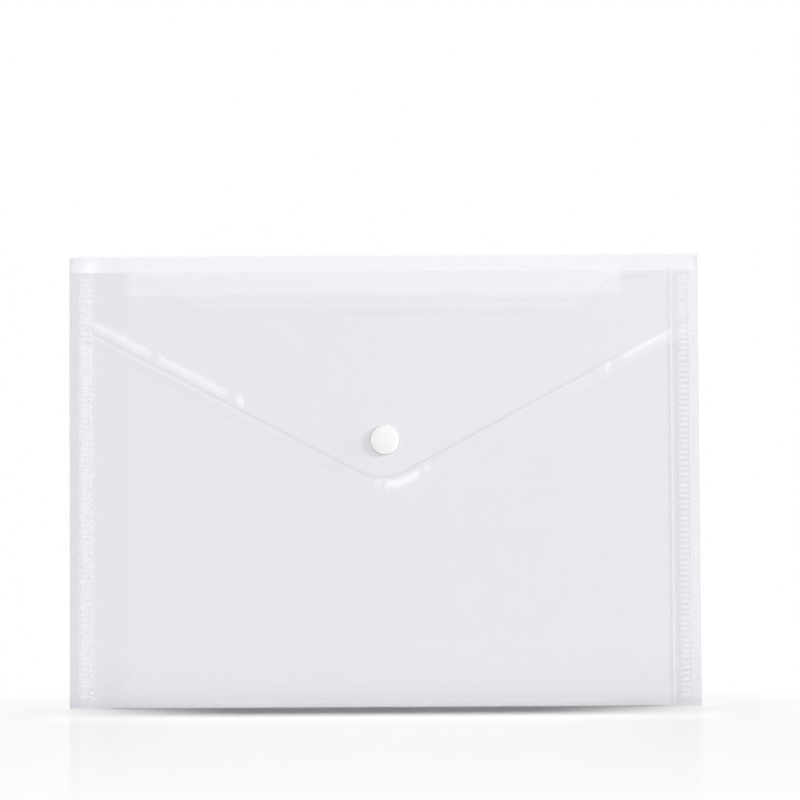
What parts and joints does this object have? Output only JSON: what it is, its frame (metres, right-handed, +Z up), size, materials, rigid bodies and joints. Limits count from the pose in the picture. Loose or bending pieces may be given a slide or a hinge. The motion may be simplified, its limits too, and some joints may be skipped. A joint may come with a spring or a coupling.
{
  "type": "document wallet",
  "caption": "Clear plastic document wallet with a pointed envelope flap on a double crease, welded sides, a thumb notch in its mouth and a white snap button.",
  "frame": {"origin": "on the floor under the bottom fold, in the middle of the box that holds the closed wallet", "axes": "+Z up, +X to the right as seen from the front, and the flap and its button face -Y"},
  "size_m": [0.332, 0.0142, 0.2384],
  "materials": {
    "clear_film": "clear, glossy",
    "welded_film": "knurled, frosted",
    "snap_plastic": "white, satin"
  },
  "bodies": {
    "pocket": {"back_panel": "clear_film", "bottom_fold": "clear_film", "front_panel": "clear_film", "left_side_weld": "welded_film", "right_side_weld": "welded_film", "snap_stud": "snap_plastic", "stud_backing": "snap_plastic"},
    "spine": {"top_strip": "clear_film"},
    "flap": {"flap": "clear_film", "snap_cap": "snap_plastic", "snap_socket": "snap_plastic"}
  },
  "joints": [
    {"name": "rear_crease", "type": "hinge", "parent": "pocket", "child": "spine", "pos_m": [0, 0.00675, 0.2381], "axis": [-1, 0, 0], "range_deg": [0, 180]},
    {"name": "front_crease", "type": "hinge", "parent": "spine", "child": "flap", "pos_m": [0, -0.00395, 0.2285], "axis": [-1, 0, 0], "range_deg": [0, 150]}
  ]
}
